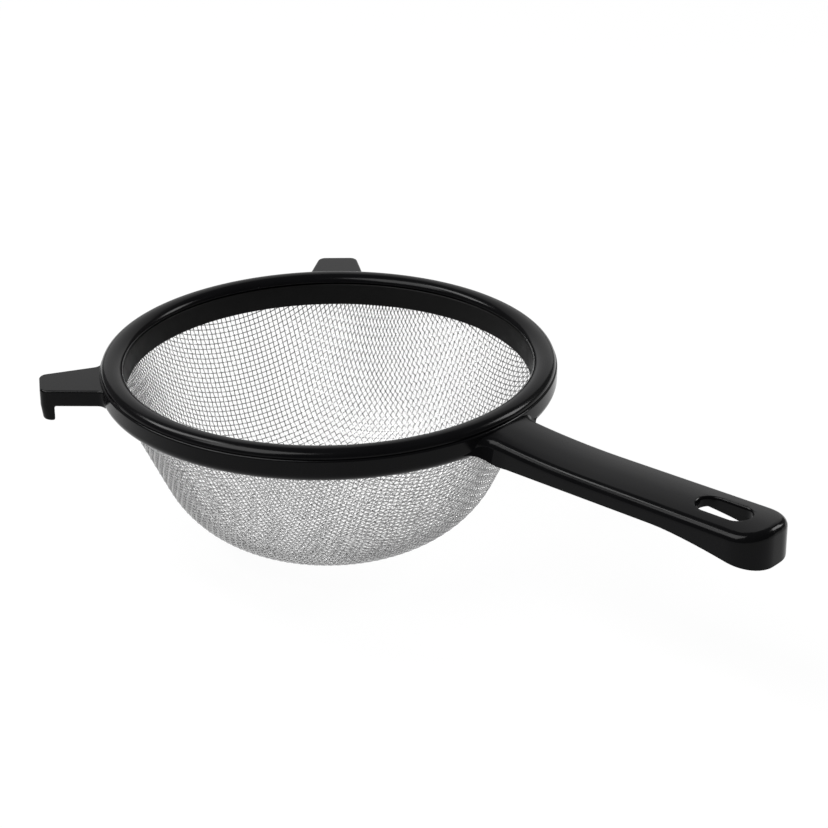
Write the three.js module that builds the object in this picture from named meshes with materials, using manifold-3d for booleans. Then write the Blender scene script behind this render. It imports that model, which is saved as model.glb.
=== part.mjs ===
// A one-hand kitchen sieve: a moulded rim with handle and hook ears, a clamp ring and a bowl of wire cloth.
// Millimetres, +Z up. The origin is on the bowl's axis, in the plane where the ears rest on a pan.
// +X runs along the handle, and the part is mirror-symmetric about the XZ plane apart from the wires.
import * as THREE from "three";
import { mergeVertices } from "three/addons/utils/BufferGeometryUtils.js";
import Module from "manifold-3d";

// Rim
const rimRadius = 78.5;
const rimWidth = 8.1;
const beadTop = 9.6;
const beadEdge = 7.0;
const beadInset = 0.5;
const grooveDepth = 0.5;
const grooveHeight = 0.5;
const rimBottom = -1.4;
const rimFootRadius = 3.4;
const rimSegments = 72;

// Clamp ring and the trapped edge of the cloth
const ringWall = 1.1;
const ringDraft = 0.8;
const ringBottom = -1.4;
const seam = 0.4;
const clearance = 0.3;
const hemWall = 0.8;
const hemBottom = -1.0;
const hemGrip = 0.6;

// Wire cloth
const bowlDepth = 57.5;
const bowlLean = 25;
const bowlRound = 39.5;
const bottomSlope = 15;
const wirePitch = 5.4;
const wireRadius = 0.32;
const wireStep = 12;
const wireTurn = 73;
const shortestWire = 30;

// Handle
const handleLength = 105;
const handleRootHalfWidth = 11.3;
const handleEndHalfWidth = 12.4;
const handleCornerRadius = 10.5;
const handleFlareRadius = 5;
const handleWall = 2.3;
const handleCrown = 1.3;
const handleEdgeRadius = 2.6;
const channelEdgeRadius = 0.4;
const handleRootTop = 6.2;
const handleTop = 3.9;
const handleSettle = 40;
const handleRootBottom = -3.2;
const handleRootRun = 2.5;
const handleEndBottom = -8.9;
const handleDeepening = 38;
const handleSweep = 1.5;

// Hang slot
const slotFromEnd = 19.8;
const slotLength = 18.3;
const slotWidth = 8.8;

// Hook ears
const earAngle = 130.5;
const earLength = 20.3;
const earTop = 5.8;
const earRootHalfWidth = 10.4;
const earTipHalfWidth = 7.3;
const earEdgeRadius = 0.9;
const earCornerRadius = 1.6;
const earRootFillet = 2.0;
const hookDrop = 5.2;
const hookWall = 4.6;
const hookTaper = 1.2;

// How finely curves are cut up
const edgeSteps = 3;
const crownSteps = 8;
const beadSteps = 8;
const slotSteps = 8;
const footSteps = 4;
const settleSteps = 4;
const straightSteps = 5;
const flareShares = [0, 0.15, 0.35, 0.65, 1];
const endAngles = [25, 45, 60, 72, 82, 90];
const wireCorners = [90, 210, 330];
const meridianSteps = 150;
const newtonRounds = 20;

const wasm = await Module();
wasm.setup();

const rad = THREE.MathUtils.degToRad;

// A closed three.js geometry as a solid that can be joined and cut.
function solid(geometry) {
  const bare = new THREE.BufferGeometry();
  bare.setAttribute("position", geometry.getAttribute("position"));
  if (geometry.index) bare.setIndex(geometry.index);
  const merged = mergeVertices(bare, 1e-4);
  return new wasm.Manifold(
    new wasm.Mesh({
      numProp: 3,
      vertProperties: merged.attributes.position.array,
      triVerts: new Uint32Array(merged.index.array),
    }),
  );
}

// A solid as a three.js geometry, for a mesh.
function geometryOf(body) {
  const mesh = body.getMesh();
  const geometry = new THREE.BufferGeometry();
  geometry.setAttribute("position", new THREE.BufferAttribute(mesh.vertProperties, 3));
  geometry.setIndex(new THREE.BufferAttribute(mesh.triVerts, 1));
  geometry.computeVertexNormals();
  return geometry;
}

// A closed profile of [radius, height] points turned about the Z axis.
function turned(profile) {
  const closed = [...profile, profile[0]].map(([r, z]) => new THREE.Vector2(r, z));
  const lathe = new THREE.LatheGeometry(closed, rimSegments);
  return solid(lathe.rotateX(Math.PI / 2));
}

// Points on an elliptic arc about a centre, angles in degrees.
function arc([cx, cy], rx, ry, from, to, steps) {
  return Array.from({ length: steps + 1 }, (_, k) => {
    const a = rad(from + ((to - from) * k) / steps);
    return [cx + rx * Math.cos(a), cy + ry * Math.sin(a)];
  });
}

// A body through rings of points that all have the same count, closed by a fan at each end.
function lofted(rings) {
  const count = rings[0].length;
  const points = rings.flat();
  const faces = [];
  for (let k = 0; k + 1 < rings.length; k++) {
    for (let j = 0; j < count; j++) {
      const a = k * count + j;
      const b = k * count + ((j + 1) % count);
      faces.push(a, b + count, b, a, a + count, b + count);
    }
  }
  const last = (rings.length - 1) * count;
  for (let j = 1; j + 1 < count; j++) {
    faces.push(0, j, j + 1);
    faces.push(last, last + j + 1, last + j);
  }
  const geometry = new THREE.BufferGeometry().setFromPoints(points);
  geometry.setIndex(faces);
  return solid(geometry);
}

// Rim: rolled bead, fine groove under it, straight wall and a rounded foot.
const mouthRadius = rimRadius - rimWidth;
const beadHalf = (rimRadius - beadInset - mouthRadius) / 2;
const beadCentre = [mouthRadius + beadHalf, beadEdge];
const wallTop = beadEdge - grooveHeight;
const ringOuter = mouthRadius + ringWall;
const innerHem = ringOuter + clearance;
const outerHem = innerHem + hemWall + clearance;
const rimInner = outerHem + hemWall + clearance;
const ringTop = beadEdge - seam;

function rimBody() {
  const footCentre = [rimRadius - rimFootRadius, rimBottom + rimFootRadius];
  return turned([
    ...arc(footCentre, rimFootRadius, rimFootRadius, -90, 0, footSteps),
    [rimRadius, wallTop],
    [rimRadius - beadInset - grooveDepth, wallTop],
    [rimRadius - beadInset - grooveDepth, beadEdge],
    ...arc(beadCentre, beadHalf, beadTop - beadEdge, 0, 180, beadSteps),
    [rimInner, beadEdge],
    [rimInner, rimBottom],
  ]);
}

// Handle: outline, crown and depth at each station along X, drawn in by an inset for the channel below.
const handleEnd = rimRadius + handleLength;
// The flare is a fillet that touches the handle's side and the rim's outer circle.
const flareSide = handleRootHalfWidth + handleFlareRadius;
const flareEnd = Math.sqrt((rimRadius + handleFlareRadius) ** 2 - flareSide ** 2);
const flareStart = (flareEnd * rimRadius) / (rimRadius + handleFlareRadius);
const handleStart = (rimInner + flareStart) / 2;

function handleHalfWidth(x, inset) {
  const run = (x - rimRadius) / handleLength;
  const side = THREE.MathUtils.lerp(handleRootHalfWidth, handleEndHalfWidth, run) - inset;
  const corner = handleCornerRadius - inset;
  const pastCorner = x - (handleEnd - handleCornerRadius);
  if (pastCorner > 0) return side - corner + Math.sqrt(Math.max(corner ** 2 - pastCorner ** 2, 0));
  if (inset > 0) return side;
  const back = THREE.MathUtils.clamp(flareEnd - x, 0, flareEnd - flareStart);
  return side + handleFlareRadius - Math.sqrt(handleFlareRadius ** 2 - back ** 2);
}

function handleTopAt(x) {
  const run = THREE.MathUtils.clamp((x - rimRadius) / handleSettle, 0, 1);
  return THREE.MathUtils.lerp(handleRootTop, handleTop, 1 - (1 - run) ** 2);
}

// The underside comes out of the rim's rounded foot, runs level and deepens towards the end.
function handleBottomAt(x) {
  const root = THREE.MathUtils.smoothstep(x, handleStart, flareStart + handleRootRun);
  const run = THREE.MathUtils.clamp((x - handleEnd + handleDeepening) / handleDeepening, 0, 1);
  const level = THREE.MathUtils.lerp(rimBottom + rimFootRadius / 2, handleRootBottom, root);
  return THREE.MathUtils.lerp(level, handleEndBottom, run ** handleSweep);
}

// One ring of the handle: up one side, over the rounded edge and the crown, and down the other.
function handleRing(x, inset, rounding, dip) {
  const half = handleHalfWidth(x, inset);
  const top = handleTopAt(x) - inset - dip;
  const bottom = handleBottomAt(x) - inset;
  const edge = Math.min(rounding, half / 2);
  const crownAt = (y) => top - handleCrown * (y / half) ** 2;
  const crown = Array.from({ length: crownSteps + 1 }, (_, k) => (half - edge) * ((2 * k) / crownSteps - 1));
  const shoulder = crownAt(half - edge) - edge;
  const left = arc([edge - half, shoulder], edge, edge, 180, 90, edgeSteps).slice(0, -1);
  const right = arc([half - edge, shoulder], edge, edge, 90, 0, edgeSteps).slice(1);
  const ring = [[-half, bottom], ...left, ...crown.map((y) => [y, crownAt(y)]), ...right, [half, bottom]];
  return ring.map(([y, z]) => new THREE.Vector3(x, y, z));
}

// Stations evenly along X, without the first of them.
function evenly(from, to, steps) {
  return Array.from({ length: steps }, (_, k) => THREE.MathUtils.lerp(from, to, (k + 1) / steps));
}

// Stations from the settling top to the round end, for the outside or, drawn in, for the channel.
function gripStations(inset) {
  const settled = rimRadius + handleSettle;
  const straightEnd = handleEnd - handleCornerRadius;
  const corner = handleCornerRadius - inset;
  return [
    ...evenly(flareEnd, settled, settleSteps),
    ...evenly(settled, straightEnd, straightSteps),
    ...endAngles.map((a) => straightEnd + corner * Math.sin(rad(a))),
  ];
}

function outerStations() {
  const flare = flareShares.map((t) => THREE.MathUtils.lerp(flareStart, flareEnd, t));
  return [handleStart, ...flare, ...gripStations(0)];
}

function channelStations() {
  return [rimRadius + handleWall, flareEnd + handleWall, ...gripStations(handleWall)];
}

function handleBody(stations, inset) {
  const rounding = inset > 0 ? channelEdgeRadius : handleEdgeRadius;
  const end = stations[stations.length - 1];
  const rings = stations.map((x) => {
    const past = Math.max(x - (end - rounding), 0);
    const dip = rounding - Math.sqrt(Math.max(rounding ** 2 - past ** 2, 0));
    return handleRing(x, inset, rounding, dip);
  });
  return lofted(rings);
}

// A rounded slot, end to end along X, cut through the whole height.
function slotCutter() {
  const straight = (slotLength - slotWidth) / 2;
  const centre = handleEnd - slotFromEnd;
  const outline = new THREE.Shape();
  outline.absarc(centre + straight, 0, slotWidth / 2, -Math.PI / 2, Math.PI / 2);
  outline.absarc(centre - straight, 0, slotWidth / 2, Math.PI / 2, (3 * Math.PI) / 2);
  const height = beadTop - handleEndBottom;
  const straightCut = { depth: height, bevelEnabled: false, curveSegments: slotSteps };
  const cut = new THREE.ExtrudeGeometry(outline, straightCut);
  return solid(cut.translate(0, 0, handleEndBottom));
}

// Hook ear along +X: its side profile cut by a tapering plan with a rounded upper edge.
function earBody() {
  const root = (rimInner + rimRadius) / 2;
  const earReach = rimRadius + earLength;
  const lipInside = earReach - hookWall;
  const lipOutside = earReach - hookTaper;
  const lipBottom = -hookDrop;
  const profile = new THREE.Shape();
  profile.moveTo(root, earTop);
  profile.lineTo(earReach, earTop);
  profile.lineTo(earReach, 0);
  profile.lineTo(lipOutside, lipBottom + earCornerRadius / 2);
  profile.quadraticCurveTo(lipOutside, lipBottom, lipOutside - earCornerRadius / 2, lipBottom);
  profile.lineTo(lipInside + earCornerRadius / 2, lipBottom);
  profile.quadraticCurveTo(lipInside, lipBottom, lipInside, lipBottom + earCornerRadius / 2);
  profile.lineTo(lipInside, 0);
  profile.lineTo(rimRadius + earRootFillet, 0);
  profile.quadraticCurveTo(rimRadius, 0, root, rimBottom / 2);
  const width = 4 * earRootHalfWidth;
  const across = { depth: width, bevelEnabled: false, curveSegments: edgeSteps };
  const side = new THREE.ExtrudeGeometry(profile, across);
  side.rotateX(Math.PI / 2).translate(0, width / 2, 0);

  const tip = earReach - earEdgeRadius;
  const tipHalf = earTipHalfWidth - earEdgeRadius;
  const rootHalf = earRootHalfWidth - earEdgeRadius;
  const plan = new THREE.Shape();
  plan.moveTo(root - earEdgeRadius, -rootHalf);
  plan.lineTo(rimRadius, -rootHalf);
  plan.lineTo(tip - earCornerRadius, -tipHalf);
  plan.quadraticCurveTo(tip, -tipHalf, tip, -tipHalf + earCornerRadius);
  plan.lineTo(tip, tipHalf - earCornerRadius);
  plan.quadraticCurveTo(tip, tipHalf, tip - earCornerRadius, tipHalf);
  plan.lineTo(rimRadius, rootHalf);
  plan.lineTo(root - earEdgeRadius, rootHalf);
  const height = earTop + hookDrop + 2 * earEdgeRadius;
  const prism = new THREE.ExtrudeGeometry(plan, {
    depth: height,
    bevelThickness: earEdgeRadius,
    bevelSize: earEdgeRadius,
    bevelSegments: 2,
    curveSegments: edgeSteps,
  });
  prism.translate(0, 0, earTop - earEdgeRadius - height);
  return solid(side).intersect(solid(prism));
}

function frameBody() {
  const ear = earBody();
  return handleBody(outerStations(), 0)
    .subtract(handleBody(channelStations(), handleWall))
    .subtract(slotCutter())
    .add(ear.rotate([0, 0, earAngle]))
    .add(ear.rotate([0, 0, -earAngle]))
    .add(rimBody());
}

// Clamp ring: a thin band pressed in under the bead, its inner face drawn in towards the lip.
function ringBody() {
  const lip = mouthRadius - ringDraft;
  const edge = ringWall / 3;
  return turned([
    [lip + edge, ringBottom],
    [ringOuter - edge, ringBottom],
    [ringOuter, ringBottom + edge],
    [ringOuter, ringTop],
    [mouthRadius + edge, ringTop],
    [mouthRadius, ringTop - edge],
    [lip, ringBottom + edge],
  ]);
}

// The bowl's meridian, from its lowest point up to the trapped edge, as [length along it, radius, height]:
// a shallow dome about the axis, a round, and a straight side that leans in from the trapped edge.
const bowlRadius = (innerHem + outerHem + hemWall) / 2;
const hemHeight = ringTop - seam - hemBottom;

function meridianTable() {
  const lean = rad(bowlLean);
  const slope = rad(bottomSlope);
  const roundReach = bowlRound * Math.cos(lean);
  const roundDepth = bowlRound * (1 - Math.sin(lean));
  const dish = Math.tan(slope / 2);
  const spare = bowlDepth - roundDepth - dish * (bowlRadius - roundReach);
  const side = spare / (Math.cos(lean) - dish * Math.sin(lean));
  const roundCentre = [
    bowlRadius - side * Math.sin(lean) - roundReach,
    hemBottom - side * Math.cos(lean) + bowlRound * Math.sin(lean),
  ];
  const dome = bowlRound + roundCentre[0] / Math.sin(slope);
  const domeCentre = [0, roundCentre[1] + (dome - bowlRound) * Math.cos(slope)];
  const points = [
    ...arc(domeCentre, dome, dome, -90, bottomSlope - 90, meridianSteps),
    ...arc(roundCentre, bowlRound, bowlRound, bottomSlope - 90, -bowlLean, meridianSteps).slice(1),
    [bowlRadius, hemBottom],
    [bowlRadius, hemBottom + hemHeight],
  ];
  let length = 0;
  return points.map(([r, z], k) => {
    if (k > 0) length += Math.hypot(r - points[k - 1][0], z - points[k - 1][1]);
    return [length, r, z];
  });
}
const meridian = meridianTable();
const bowlLength = meridian[meridian.length - 2][0];

// A point of the cloth from map coordinates (a, b), whose distance from the centre is the length up the bowl.
function clothPoint(a, b, offset) {
  const length = Math.hypot(a, b);
  let k = meridian.findIndex(([s]) => s > length);
  if (k < 1) k = meridian.length - 1;
  const [s0, r0, z0] = meridian[k - 1];
  const [s1, r1, z1] = meridian[k];
  const t = (length - s0) / (s1 - s0);
  const slope = Math.hypot(r1 - r0, z1 - z0);
  const r = r0 + t * (r1 - r0) + (offset * (z1 - z0)) / slope;
  const z = z0 + t * (z1 - z0) - (offset * (r1 - r0)) / slope;
  const turn = Math.atan2(b, a);
  return new THREE.Vector3(r * Math.cos(turn), r * Math.sin(turn), z);
}

// The map point one pitch from both neighbours, found by Newton steps from a parallelogram guess.
function nextCrossing([pa, pb], [qa, qb], [oa, ob]) {
  const p = clothPoint(pa, pb, 0);
  const q = clothPoint(qa, qb, 0);
  const miss = (a, b) => {
    const c = clothPoint(a, b, 0);
    return [c.distanceTo(p) - wirePitch, c.distanceTo(q) - wirePitch];
  };
  const nudge = 1e-3;
  let a = pa + qa - oa;
  let b = pb + qb - ob;
  for (let k = 0; k < newtonRounds; k++) {
    const [f, g] = miss(a, b);
    const [fa, ga] = miss(a + nudge, b).map((v, i) => (v - [f, g][i]) / nudge);
    const [fb, gb] = miss(a, b + nudge).map((v, i) => (v - [f, g][i]) / nudge);
    const det = fa * gb - fb * ga;
    a -= (f * gb - g * fb) / det;
    b -= (g * fa - f * ga) / det;
  }
  return [a, b];
}

// One quarter of the net: row i, column j, until it is well past the trapped edge.
function clothNet() {
  const count = Math.ceil((bowlLength + hemHeight) / wirePitch);
  const net = [];
  for (let i = 0; i <= count; i++) {
    net.push([]);
    for (let j = 0; j <= count; j++) {
      if (i === 0 || j === 0) {
        net[i].push([i * wirePitch, j * wirePitch]);
        continue;
      }
      const beside = net[i - 1][j];
      const below = net[i][j - 1];
      const near = (point) => point && Math.hypot(...point) <= bowlLength + wirePitch;
      const goesOn = beside && below && (near(beside) || near(below));
      net[i].push(goesOn ? nextCrossing(beside, below, net[i - 1][j - 1]) : null);
    }
  }
  return net;
}

// The map points of wire i, mirrored to both halves and ended inside the trapped edge.
function wirePath(net, i) {
  const end = bowlLength + hemGrip;
  const half = [];
  for (const point of net[i]) {
    if (!point) break;
    const before = half[half.length - 1];
    if (Math.hypot(...point) < end) {
      half.push(point);
      continue;
    }
    if (!before) return [];
    const s0 = Math.hypot(...before);
    const t = (end - s0) / (Math.hypot(...point) - s0);
    half.push([before[0] + t * (point[0] - before[0]), before[1] + t * (point[1] - before[1])]);
    break;
  }
  const mirrored = half.slice(1).map(([a, b]) => [a, -b]);
  return [...mirrored.reverse(), ...half];
}

// One set of parallel wires with its trapped edge band, laid at an offset from the middle of the cloth.
function wireSet(net, inner, turn) {
  const offset = inner + hemWall / 2 - bowlRadius;
  const section = new THREE.Shape(
    wireCorners.map((a) => new THREE.Vector2(Math.cos(rad(a)), Math.sin(rad(a))).multiplyScalar(wireRadius)),
  );
  let set = turned([
    [inner, hemBottom],
    [inner + hemWall, hemBottom],
    [inner + hemWall, hemBottom + hemHeight],
    [inner, hemBottom + hemHeight],
  ]);
  for (let i = 0; i < net.length; i++) {
    const path = wirePath(net, i);
    for (const side of i === 0 ? [1] : [1, -1]) {
      const points = path.map(([a, b]) => clothPoint(side * a, b, offset));
      if (points.length < 3) continue;
      const curve = new THREE.CatmullRomCurve3(points);
      const length = curve.getLength();
      if (length < shortestWire) continue;
      const steps = Math.ceil(length / wireStep);
      const wire = new THREE.ExtrudeGeometry(section, { steps, extrudePath: curve, bevelEnabled: false });
      set = set.add(solid(wire.rotateZ(rad(turn))));
    }
  }
  return set;
}

const blackGloss = new THREE.MeshStandardMaterial({ color: 0x161616, roughness: 0.25, metalness: 0 });
const blackSatin = new THREE.MeshStandardMaterial({ color: 0x1a1a1a, roughness: 0.5, metalness: 0 });
const steelWire = new THREE.MeshStandardMaterial({ color: 0xb9b9b7, roughness: 0.3, metalness: 1 });

function piece(name, body, material) {
  const mesh = new THREE.Mesh(geometryOf(body), material);
  mesh.name = name;
  return mesh;
}

const net = clothNet();
const sieve = new THREE.Group();
sieve.add(piece("frame", frameBody(), blackGloss));
sieve.add(piece("clamp_ring", ringBody(), blackSatin));
sieve.add(piece("warp_wires", wireSet(net, innerHem, wireTurn), steelWire));
sieve.add(piece("weft_wires", wireSet(net, outerHem, wireTurn + 90), steelWire));

export default sieve;
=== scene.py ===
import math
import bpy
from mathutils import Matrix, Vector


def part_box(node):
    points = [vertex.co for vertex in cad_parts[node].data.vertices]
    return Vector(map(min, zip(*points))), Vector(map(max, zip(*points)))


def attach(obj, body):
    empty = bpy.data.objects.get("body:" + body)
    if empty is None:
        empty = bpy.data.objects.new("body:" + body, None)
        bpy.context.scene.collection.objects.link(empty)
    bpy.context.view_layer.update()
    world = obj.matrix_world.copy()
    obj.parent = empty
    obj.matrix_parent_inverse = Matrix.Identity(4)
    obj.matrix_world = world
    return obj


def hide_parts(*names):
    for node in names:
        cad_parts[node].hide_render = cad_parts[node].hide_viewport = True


bl_info = {
    "name": "Hand sieve",
    "version": (1, 0, 0),
    "blender": (4, 5, 0),
    "location": "View3D > Sidebar > Sieve",
    "description": "Builds a hand sieve: a moulded frame, a clamp ring and a bowl of woven steel wire",
    "category": "Object",
}

from bisect import bisect_right

import bmesh
import bpy
from bpy.props import FloatProperty, FloatVectorProperty, IntProperty, PointerProperty
from mathutils import Vector

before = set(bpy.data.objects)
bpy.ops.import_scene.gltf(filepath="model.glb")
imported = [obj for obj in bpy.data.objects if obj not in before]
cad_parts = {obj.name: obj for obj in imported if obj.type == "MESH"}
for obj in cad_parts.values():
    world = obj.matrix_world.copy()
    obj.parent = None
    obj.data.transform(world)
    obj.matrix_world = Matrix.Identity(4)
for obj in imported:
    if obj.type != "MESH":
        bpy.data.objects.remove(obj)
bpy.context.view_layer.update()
FRAME_LOW, FRAME_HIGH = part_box("frame")
RING_LOW, RING_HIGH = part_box("clamp_ring")
BOWL_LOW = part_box("weft_wires")[0]
MM = 0.001

# Points closer together than this, in metres, count as one.
SAME_PLACE = 1e-6
# Edges that turn by more than this stay sharp.
SHARP_ANGLE = math.radians(32)
# From one cut across the handle to the next, where it is straight.
HANDLE_STEP = 4 * MM
# Where a fillet is cut across, as shares of its length. The first place lies inside the rim's wall.
HANDLE_FILLET = (-0.03, 0.08, 0.2, 0.36, 0.55, 0.77, 1)
FOOT_FILLET = (-0.03, 0.1, 0.22, 0.38, 0.56, 0.78, 1)
EAR_FILLET = (-0.05, 0.08, 0.2, 0.36, 0.55, 0.77, 1)
# Well clear of the handle's skin, above it or below it.
CLEAR = 20 * MM

# The camera of the photograph: place in metres, turn in degrees, lens and sensor in millimetres.
CAMERA_PLACE = (0.5366, -0.5754, 0.3544)
CAMERA_TURN = (64.90, 0.40, 40.69)
CAMERA_LENS = 108.7
CAMERA_SENSOR = 36
CAMERA_CLIP = 0.01

# The stage: side of the paper floor in metres, how white the camera sees it, and the light all round.
FLOOR_SIZE = 60
PAPER_GLOW = 0.94
WORLD_STRENGTH = 0.18
# Each lamp: name, metres to the right, to the back and up as the camera sees it, width, height, watts.
LAMPS = (
    ("lamp_front", -0.5, -0.35, 0.95, 0.7, 0.7, 12),
    ("lamp_left", -0.62, 0.2, 0.78, 0.25, 0.5, 6),
    ("lamp_right", 0.85, 0.25, 0.5, 0.25, 0.4, 4),
    ("lamp_back", 0.0, 1.1, 0.55, 1.6, 0.9, 3.5),
)


def linear(code):
    """An sRGB hex colour as linear red, green, blue and alpha."""
    parts = [int(code[k : k + 2], 16) / 255 for k in (1, 3, 5)]
    return [c / 12.92 if c <= 0.04045 else ((c + 0.055) / 1.055) ** 2.4 for c in parts] + [1.0]


def length(name, description, millimetres):
    """A length property that shows in the scene's own unit."""
    return FloatProperty(
        name=name, description=description, default=millimetres * MM, unit="LENGTH", precision=5
    )


def angle_of(name, description, degrees):
    """An angle property from degrees."""
    return FloatProperty(name=name, description=description, default=math.radians(degrees), subtype="ANGLE")


def colour(name, description, code):
    """A colour property from an sRGB hex colour."""
    return FloatVectorProperty(
        name=name, description=description, default=linear(code), size=4, subtype="COLOR", min=0, max=1
    )


class SieveRimSizes(bpy.types.PropertyGroup):
    outside: length("Outside radius", "Radius of the wall below the bead", -FRAME_LOW.x / MM)
    width: length("Bead width", "From the mouth to the outside of the bead", 7.6)
    bead_top: length("Bead top", "Height of the bead's top", FRAME_HIGH.z / MM)
    bead_edge: length("Bead edge", "Height of the bead's widest line", 7.0)
    bead_roll: length("Bead roll", "How far the bead rolls in below its widest line", 0.22)
    bead_inset: length("Bead inset", "How far the bead stands back from the wall", 0.5)
    groove: length("Groove", "Depth and height of the groove under the bead", 0.36)
    inside: length("Inside radius", "Radius of the wall's bore, where the cloth is trapped", 73.4)
    bottom: length("Bottom", "Height of the wall's lower edge", RING_LOW.z / MM)
    foot_radius: length("Foot radius", "Rounding of the wall's lower outer edge", 3.4)
    shoulder: length("Shoulder", "Rounding of the wall's edge at the groove", 0.7)
    edge_radius: length("Edge radius", "Rounding of the wall's other edges", 0.25)
    steps: IntProperty(name="Steps", description="Steps round the rim", default=216, min=24, max=720)


class SieveHandleSizes(bpy.types.PropertyGroup):
    start: length("Start", "Where the handle starts inside the rim's wall", 75.0)
    end: length("End", "Where the handle ends", FRAME_HIGH.x / MM)
    root_half_width: length("Root half width", "Half the width next to the rim", 11.3)
    end_half_width: length("End half width", "Half the width at the end", 12.4)
    flare_radius: length("Flare radius", "Fillet between the handle's upper side and the rim", 5.0)
    foot_flare: length("Foot flare", "Fillet between the handle's lower edge and the rim", 12.0)
    corner_radius: length("Corner radius", "Rounding of the end, seen from above", 10.5)
    edge_radius: length("Edge radius", "Rounding of the upper edge", 2.6)
    wall: length("Wall", "Thickness of the moulded channel", 2.3)
    crown: length("Crown", "How much the middle of the top stands above its sides", 1.3)
    root_top: length("Root top", "Height of the top next to the rim", 6.2)
    top: length("Top", "Height of the top along the grip", 3.9)
    settle: length("Settling", "Length over which the top comes down to the grip", 40.0)
    root_bottom: length("Root bottom", "Height of the lower edge next to the rim", -3.2)
    root_run: length("Root run", "Length over which the lower edge comes out of the rim", 8.0)
    end_bottom: length("End bottom", "Height of the lower edge at the end", FRAME_LOW.z / MM)
    deepening: length("Deepening", "Length over which the lower edge comes down", 38.0)
    slot_from_end: length("Slot from end", "From the end to the middle of the hang slot", 19.8)
    slot_length: length("Slot length", "Length of the hang slot", 18.3)
    slot_width: length("Slot width", "Width of the hang slot", 8.8)
    slot_lip: length("Slot lip", "Rounding of the hang slot's edge", 1.1)
    collar: length("Collar", "Thickness of the collar round the hang slot", 2.0)
    collar_depth: length("Collar depth", "How far the collar comes down from the handle's top", 3.6)


class SieveEarSizes(bpy.types.PropertyGroup):
    angle: angle_of("Angle", "From the handle to an ear", 130.5)
    root: length("Root", "Radius where an ear starts inside the rim's wall", 76.2)
    reach: length("Reach", "Radius of an ear's tip", 98.8)
    top: length("Top", "Height of an ear's upper side", 5.8)
    root_half_width: length("Root half width", "Half an ear's width at the rim", 11.1)
    tip_half_width: length("Tip half width", "Half an ear's width at the tip", 7.0)
    flare_radius: length("Flare radius", "Fillet between an ear's side and the rim", 2.6)
    hook_drop: length("Hook drop", "How far the hook comes down", 5.2)
    hook_wall: length("Hook wall", "Thickness of the hook", 4.6)
    hook_taper: length("Hook taper", "How much the hook's outer side leans in", 0.7)
    corner_radius: length("Corner radius", "Rounding of the tip's corners, seen from above", 2.4)
    edge_radius: length("Edge radius", "Rounding of an ear's edges", 0.8)


class SieveRingSizes(bpy.types.PropertyGroup):
    mouth: length("Mouth radius", "Radius of the ring's upper inner edge", 70.4)
    draft: length("Draft", "How much the inner face leans in towards its lower edge", 0.8)
    outside: length("Outside radius", "Radius of the ring's outer face", 72.2)
    top: length("Top", "Height of the ring's upper edge", RING_HIGH.z / MM - 0.3)
    bottom: length("Bottom", "Height of the ring's lower edge", RING_LOW.z / MM)
    edge_radius: length("Edge radius", "Rounding of the ring's edges", 0.4)


class SieveClothSizes(bpy.types.PropertyGroup):
    pitch: length("Pitch", "From wire to wire", 1.8)
    wire: length("Wire", "Thickness of a wire", 0.38)
    warp_crimp: length("Warp crimp", "How far a warp wire goes to each side of the cloth's middle", 0.19)
    weft_crimp: length("Weft crimp", "How far a weft wire goes to each side of the cloth's middle", 0.27)
    radius: length("Radius", "Radius of the bowl at its upper edge", 72.75)
    depth: length("Depth", "Depth of the bowl below its upper edge", 57.5)
    round: length("Round", "Radius between the bowl's side and its bottom", 39.5)
    edge: length("Edge", "Height where the cloth goes up between frame and ring", -1.0)
    trapped: length("Trapped", "Length of cloth held between frame and ring", 2.4)
    lean: angle_of("Lean", "Lean of the bowl's straight side", 25)
    slope: angle_of("Slope", "Slope where the bottom's dome ends", 15)
    turn: angle_of("Turn", "From the handle to a wire", 73)


class SieveColours(bpy.types.PropertyGroup):
    frame: colour("Frame", "Polished black plastic", "#050506")
    frame_worn: colour("Frame, rubbed", "Polished black plastic where it is a little rubbed", "#0a0a0b")
    ring: colour("Clamp ring", "Dull black plastic", "#0a0a0a")
    ring_worn: colour("Clamp ring, rubbed", "Dull black plastic where it is a little rubbed", "#101010")
    wire: colour("Wire", "Drawn stainless steel", "#cacaca")
    wire_dark: colour("Wire, dull", "Drawn stainless steel where it is duller", "#a6a6a6")
    floor: colour("Floor", "Pale studio floor", "#f4f4f4")


def alone(piece):
    """Makes a piece the only one selected, and active."""
    bpy.ops.object.select_all(action="DESELECT")
    piece.select_set(True)
    bpy.context.view_layer.objects.active = piece


def placed(name, scale=(1, 1, 1)):
    """Names the primitive that was just added and puts its size and place into its mesh."""
    piece = bpy.context.active_object
    piece.scale = scale
    piece.name = name
    piece.data.name = name
    alone(piece)
    bpy.ops.object.transform_apply(location=True, rotation=True, scale=True)
    return piece


def edit(piece):
    """Goes into edit mode on one piece, with nothing selected."""
    alone(piece)
    bpy.ops.object.mode_set(mode="EDIT")
    bpy.ops.mesh.select_all(action="DESELECT")


def leave():
    bpy.ops.object.mode_set(mode="OBJECT")


def pick(piece, kind, test):
    """Selects the points, edges or faces of the piece in edit mode for which the test holds."""
    bpy.ops.mesh.select_mode(type={"verts": "VERT", "edges": "EDGE", "faces": "FACE"}[kind])
    bpy.ops.mesh.select_all(action="DESELECT")
    mesh = bmesh.from_edit_mesh(piece.data)
    found = [element for element in getattr(mesh, kind) if test(element)]
    for element in found:
        element.select_set(True)
    mesh.select_flush_mode()
    bmesh.update_edit_mesh(piece.data)
    if not found:
        raise RuntimeError(f"nothing to shape on {piece.name}")


def middle(element):
    """The middle of an edge or a face."""
    points = [v.co for v in element.verts]
    return sum(points, Vector()) / len(points)


def near(a, b):
    return abs(a - b) < SAME_PLACE


def faces_down(face):
    return face.normal.z < -0.9


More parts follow.
